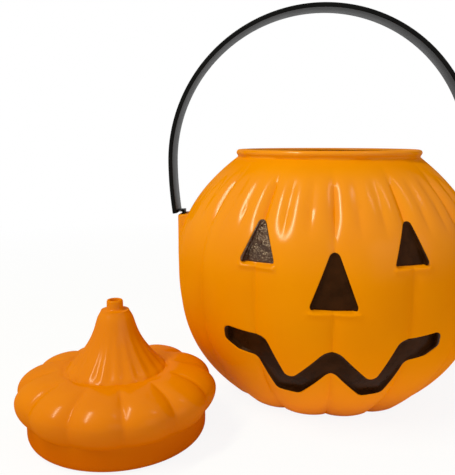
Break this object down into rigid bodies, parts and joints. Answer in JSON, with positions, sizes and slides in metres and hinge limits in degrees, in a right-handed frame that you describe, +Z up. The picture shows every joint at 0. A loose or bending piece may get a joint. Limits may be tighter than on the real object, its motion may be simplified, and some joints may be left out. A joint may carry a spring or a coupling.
{
  "type": "pumpkin candy pail",
  "caption": "Lobed pumpkin-shaped plastic candy pail with a recessed painted jack-o'-lantern face, a black strap handle and a lift-off stem lid standing beside it.",
  "frame": {"origin": "centre of the pail's flat base, on the surface that it stands on", "axes": "+Z up along the pail's axis, the face looks along -Y, the handle swings about X"},
  "size_m": [0.2947, 0.2561, 0.2637],
  "materials": {
    "orange_shell": "satin gloss, blow-moulded",
    "orange_lid": "satin gloss, blow-moulded",
    "black_strap": "smooth moulded satin",
    "face_paint": "thin glossy paint"
  },
  "bodies": {
    "pail": {"pail_body": "orange_shell", "left_eye_paint": "face_paint", "right_eye_paint": "face_paint", "nose_paint": "face_paint", "mouth_paint": "face_paint"},
    "handle": {"handle": "black_strap"},
    "lid": {"lid": "orange_lid"}
  },
  "joints": [
    {"name": "handle_swing", "type": "hinge", "parent": "pail", "child": "handle", "pos_m": [0, 0, 0.1179], "axis": [1, 0, 0], "range_deg": [-25, 25]},
    {"name": "lid_lift", "type": "slide", "parent": "pail", "child": "lid", "axis": [-0.2666, -0.1946, 0.944], "range_m": [0, 0.11]}
  ]
}
